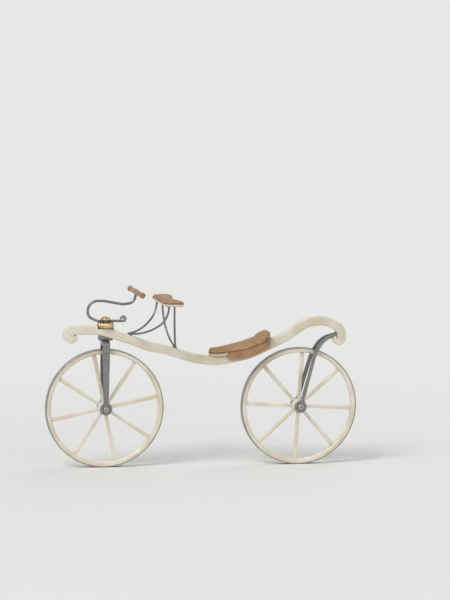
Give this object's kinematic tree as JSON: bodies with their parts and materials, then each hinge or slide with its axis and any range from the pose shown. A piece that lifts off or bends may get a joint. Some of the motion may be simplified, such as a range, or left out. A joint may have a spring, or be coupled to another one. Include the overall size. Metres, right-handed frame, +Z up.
{
  "type": "hobby horse running machine",
  "caption": "Wooden running machine: equal spoked wheels in line under a scrolled perch, with a steered fork and tiller, arm-rest and padded saddle.",
  "frame": {"origin": "on the top of the saddle, where the rider sits", "axes": "+X forward, +Y to the machine's left, +Z up"},
  "size_m": [1.8699, 0.46, 1.0509],
  "materials": {
    "painted_wood": "coach-painted and varnished, satin",
    "wrought_iron": "forged, filed and oiled",
    "tyre_iron": "bare iron, worn bright on the tread",
    "brass": "turned and polished, lightly tarnished",
    "saddle_leather": "stuffed and stitched hide, satin",
    "turned_wood": "turned and oiled"
  },
  "bodies": {
    "frame": {"arm_rest_board": "painted_wood", "arm_rest_pad": "saddle_leather", "arm_rest_stay_front_left": "wrought_iron", "arm_rest_stay_front_right": "wrought_iron", "arm_rest_stay_rear_left": "wrought_iron", "arm_rest_stay_rear_right": "wrought_iron", "head_block": "wrought_iron", "head_plate": "wrought_iron", "perch": "painted_wood", "rear_axle": "wrought_iron", "rear_axle_nut_left": "wrought_iron", "rear_axle_nut_right": "wrought_iron", "rear_stay_left": "wrought_iron", "rear_stay_right": "wrought_iron", "saddle_flap_left": "saddle_leather", "saddle_flap_right": "saddle_leather", "saddle_pad": "saddle_leather", "saddle_tree": "painted_wood"},
    "steering": {"ribbed_collar": "brass", "cap_nut": "brass", "steering_stem": "wrought_iron", "tiller_rod": "wrought_iron", "handle_grip": "turned_wood", "fork_crown": "wrought_iron", "fork_blade_left": "wrought_iron", "fork_blade_right": "wrought_iron", "front_axle": "wrought_iron", "front_axle_nut_left": "wrought_iron", "front_axle_nut_right": "wrought_iron"},
    "front_wheel": {"front_nave": "painted_wood", "front_nave_bands": "wrought_iron", "front_axle_box": "wrought_iron", "front_spokes": "painted_wood", "front_felloes": "painted_wood", "front_tyre": "tyre_iron"},
    "rear_wheel": {"rear_nave": "painted_wood", "rear_nave_bands": "wrought_iron", "rear_axle_box": "wrought_iron", "rear_spokes": "painted_wood", "rear_felloes": "painted_wood", "rear_tyre": "tyre_iron"}
  },
  "joints": [
    {"name": "steering", "type": "hinge", "parent": "frame", "child": "steering", "pos_m": [0.83, 0, 0], "axis": [0, 0, 1], "range_deg": [-30, 30]},
    {"name": "front_wheel_spin", "type": "hinge", "parent": "steering", "child": "front_wheel", "pos_m": [0.83, 0, -0.38839], "axis": [0, 1, 0], "continuous": true},
    {"name": "rear_wheel_spin", "type": "hinge", "parent": "frame", "child": "rear_wheel", "pos_m": [-0.34, 0, -0.38839], "axis": [0, 1, 0], "continuous": true}
  ]
}
